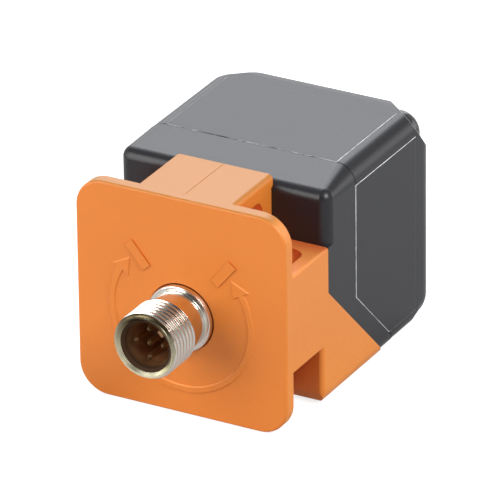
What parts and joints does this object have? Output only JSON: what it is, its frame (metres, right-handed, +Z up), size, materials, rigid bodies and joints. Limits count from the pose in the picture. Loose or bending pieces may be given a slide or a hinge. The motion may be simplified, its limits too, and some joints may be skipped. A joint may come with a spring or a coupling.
{
  "type": "inductive proximity sensor",
  "caption": "Cube-shaped inductive proximity sensor: orange neck with end plate, black sensing head, domed corner windows and a turnable round threaded plug.",
  "frame": {"origin": "under the middle of the whole length, on the level of the foot's and the head's underside", "axes": "+Y from the plug to the sensing face, +Z up, +X across, to the right seen from the plug"},
  "size_m": [0.04, 0.0666, 0.04],
  "materials": {
    "orange_moulding": "satin, fine-grained moulding",
    "black_moulding": "satin black moulding with glossy rounded edges",
    "smoked_window": "glossy, darkly tinted, translucent",
    "nickel_plate": "bright nickel plating",
    "carrier_plastic": "matt black",
    "gold_plate": "gold plated",
    "seal_rubber": "matt",
    "spring_steel": "plain",
    "screw_steel": "plain, brushed",
    "brass_plain": "plain, machined",
    "ferrite": "dark grey sintered",
    "natural_plastic": "natural, unpainted",
    "copper_wire": "lacquered copper",
    "board_laminate": "green solder mask",
    "lamp_resin": "pale resin",
    "chip_resin": "matt black resin",
    "can_aluminium": "bright",
    "wire_insulation": "smooth insulation"
  },
  "bodies": {
    "sensor": {"base_body": "orange_moulding", "front_shell": "black_moulding", "sensing_cap": "black_moulding", "window_top_left": "smoked_window", "window_top_right": "smoked_window", "window_bottom_left": "smoked_window", "window_bottom_right": "smoked_window", "port_gasket": "seal_rubber", "cap_gasket": "seal_rubber", "head_screw": "screw_steel", "threaded_insert": "brass_plain", "ferrite_core": "ferrite", "coil_bobbin": "natural_plastic", "sensing_coil": "copper_wire", "screening_ring": "brass_plain", "coil_carrier": "natural_plastic", "main_board": "board_laminate", "lamp_top_left": "lamp_resin", "lamp_top_right": "lamp_resin", "lamp_bottom_left": "lamp_resin", "lamp_bottom_right": "lamp_resin", "control_chip": "chip_resin", "output_switch": "chip_resin", "smoothing_capacitor": "can_aluminium", "protection_diodes": "chip_resin", "lead_wires": "wire_insulation"},
    "plug": {"connector_shell": "nickel_plate", "contact_carrier": "carrier_plastic", "contact_pin_1": "gold_plate", "contact_pin_2": "gold_plate", "contact_pin_3": "gold_plate", "contact_pin_4": "gold_plate", "contact_pin_5": "gold_plate", "seal_ring": "seal_rubber", "retaining_ring": "spring_steel"}
  },
  "joints": [
    {"name": "plug_turn", "type": "hinge", "parent": "sensor", "child": "plug", "pos_m": [0, -0.01665, 0.0181], "axis": [0, 1, 0], "range_deg": [-135, 135]}
  ]
}
